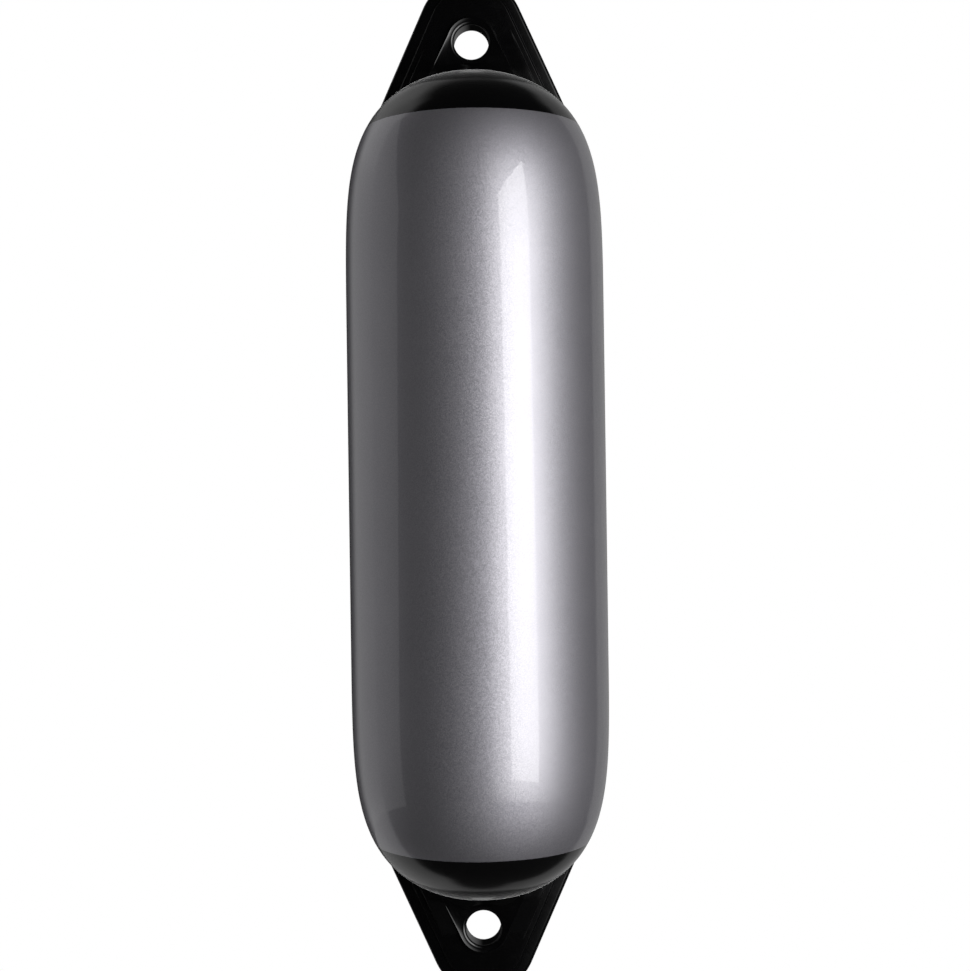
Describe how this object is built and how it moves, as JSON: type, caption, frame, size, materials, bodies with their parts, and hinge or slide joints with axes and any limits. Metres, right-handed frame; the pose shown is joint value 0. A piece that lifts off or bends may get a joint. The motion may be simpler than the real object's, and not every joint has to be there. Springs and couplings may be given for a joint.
{
  "type": "boat fender",
  "caption": "Long inflatable vinyl boat fender, a silver tube with black domed ends that each carry a flat stepped rope eye.",
  "frame": {"origin": "middle of the tube", "axes": "+Z along the tube's axis to the eye beside the air valve, Y across the flat faces of both eyes with the valve on the +Y side"},
  "size_m": [0.15, 0.15, 0.592],
  "materials": {
    "silver_vinyl": "glossy metallic silver grey vinyl, near black past the colour line at each end",
    "black_nylon": "satin black",
    "grey_rubber": "matt grey"
  },
  "bodies": {
    "root": {"fender_body": "silver_vinyl", "valve_insert": "black_nylon", "valve_screw": "black_nylon", "valve_washer": "grey_rubber"}
  },
  "joints": []
}
